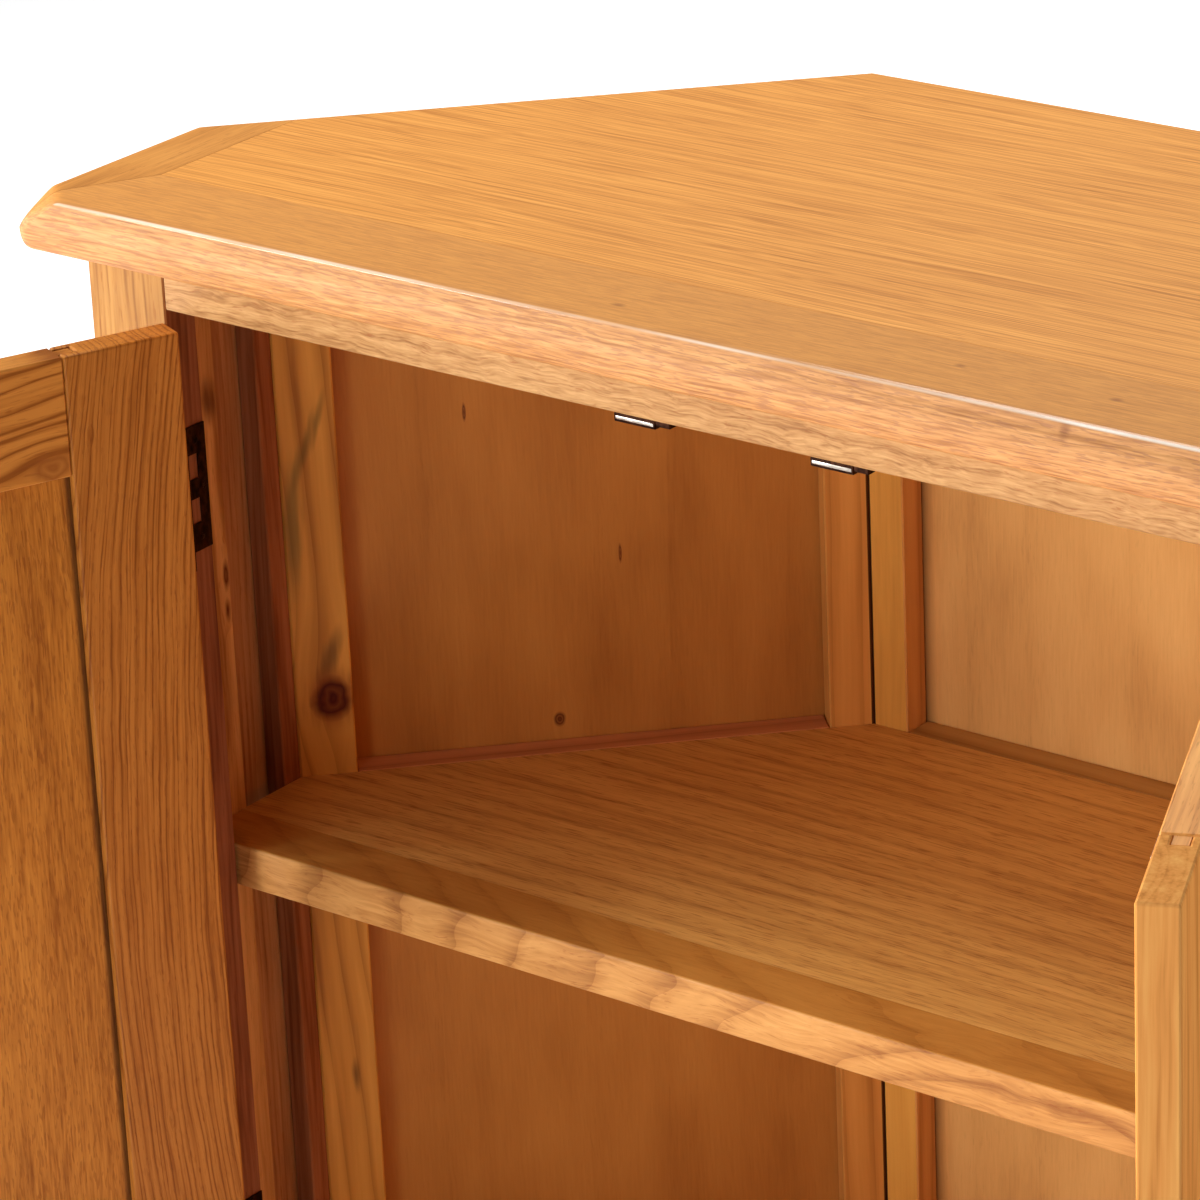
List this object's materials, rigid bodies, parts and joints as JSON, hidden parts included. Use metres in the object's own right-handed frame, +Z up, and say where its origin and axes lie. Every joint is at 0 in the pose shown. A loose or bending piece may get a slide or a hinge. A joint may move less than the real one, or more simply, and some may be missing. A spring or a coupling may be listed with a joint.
{
  "type": "corner cupboard",
  "caption": "Low wooden corner cupboard with a moulded top, framed walls, one shelf and a pair of framed doors on butt hinges that swing wide open.",
  "frame": {"origin": "on the floor, at the middle of the box that holds the cupboard with its doors standing open", "axes": "+X to the right seen from the front, +Y towards the corner of the room, +Z up"},
  "size_m": [0.9274, 0.6628, 0.78],
  "materials": {
    "lacquered_oak": "satin lacquer",
    "lacquered_pine": "satin lacquer",
    "veneered_ply": "satin lacquer",
    "bronzed_steel": "dark bronze",
    "nickel_plate": "nickel plated"
  },
  "bodies": {
    "cabinet": {"back_wall_bottom_rail": "lacquered_pine", "back_wall_first_stile": "lacquered_pine", "back_wall_last_stile": "lacquered_pine", "back_wall_panel": "veneered_ply", "back_wall_shelf_rail": "lacquered_pine", "back_wall_top_rail": "lacquered_pine", "bottom_board": "lacquered_oak", "bottom_rail": "lacquered_oak", "catch_batten": "lacquered_oak", "left_catch": "nickel_plate", "left_face_stile": "lacquered_oak", "left_lower_hinge_frame_leaf": "bronzed_steel", "left_side_front_stile": "lacquered_oak", "left_side_panel": "lacquered_oak", "left_side_rear_stile": "lacquered_oak", "left_upper_hinge_frame_leaf": "bronzed_steel", "left_wall_bottom_rail": "lacquered_pine", "left_wall_first_stile": "lacquered_pine", "left_wall_last_stile": "lacquered_pine", "left_wall_panel": "veneered_ply", "left_wall_shelf_rail": "lacquered_pine", "left_wall_top_rail": "lacquered_pine", "right_catch": "nickel_plate", "right_face_stile": "lacquered_oak", "right_lower_hinge_frame_leaf": "bronzed_steel", "right_side_front_stile": "lacquered_oak", "right_side_panel": "lacquered_oak", "right_side_rear_stile": "lacquered_oak", "right_upper_hinge_frame_leaf": "bronzed_steel", "right_wall_bottom_rail": "lacquered_pine", "right_wall_first_stile": "lacquered_pine", "right_wall_last_stile": "lacquered_pine", "right_wall_panel": "veneered_ply", "right_wall_shelf_rail": "lacquered_pine", "right_wall_top_rail": "lacquered_pine", "shelf_board": "lacquered_oak", "shelf_lipping": "lacquered_oak", "top_field": "lacquered_oak", "top_front_lipping": "lacquered_oak", "top_left_lipping": "lacquered_oak", "top_rail": "lacquered_oak", "top_right_lipping": "lacquered_oak"},
    "left_door": {"left_door_bottom_rail": "lacquered_oak", "left_door_free_stile": "lacquered_oak", "left_door_hinge_stile": "lacquered_oak", "left_door_panel": "lacquered_oak", "left_door_top_rail": "lacquered_oak", "left_knob": "lacquered_oak", "left_lower_hinge_door_leaf": "bronzed_steel", "left_strike_plate": "nickel_plate", "left_upper_hinge_door_leaf": "bronzed_steel"},
    "right_door": {"right_door_bottom_rail": "lacquered_oak", "right_door_free_stile": "lacquered_oak", "right_door_hinge_stile": "lacquered_oak", "right_door_panel": "lacquered_oak", "right_door_top_rail": "lacquered_oak", "right_knob": "lacquered_oak", "right_lower_hinge_door_leaf": "bronzed_steel", "right_strike_plate": "nickel_plate", "right_upper_hinge_door_leaf": "bronzed_steel"}
  },
  "joints": [
    {"name": "left_door_hinge", "type": "hinge", "parent": "cabinet", "child": "left_door", "pos_m": [-0.32345, -0.02801, 0.4], "axis": [0, 0, -1], "range_deg": [-113.5, 56.5]},
    {"name": "right_door_hinge", "type": "hinge", "parent": "cabinet", "child": "right_door", "pos_m": [0.32345, -0.02801, 0.4], "axis": [0, 0, 1], "range_deg": [-113.5, 56.5]}
  ]
}
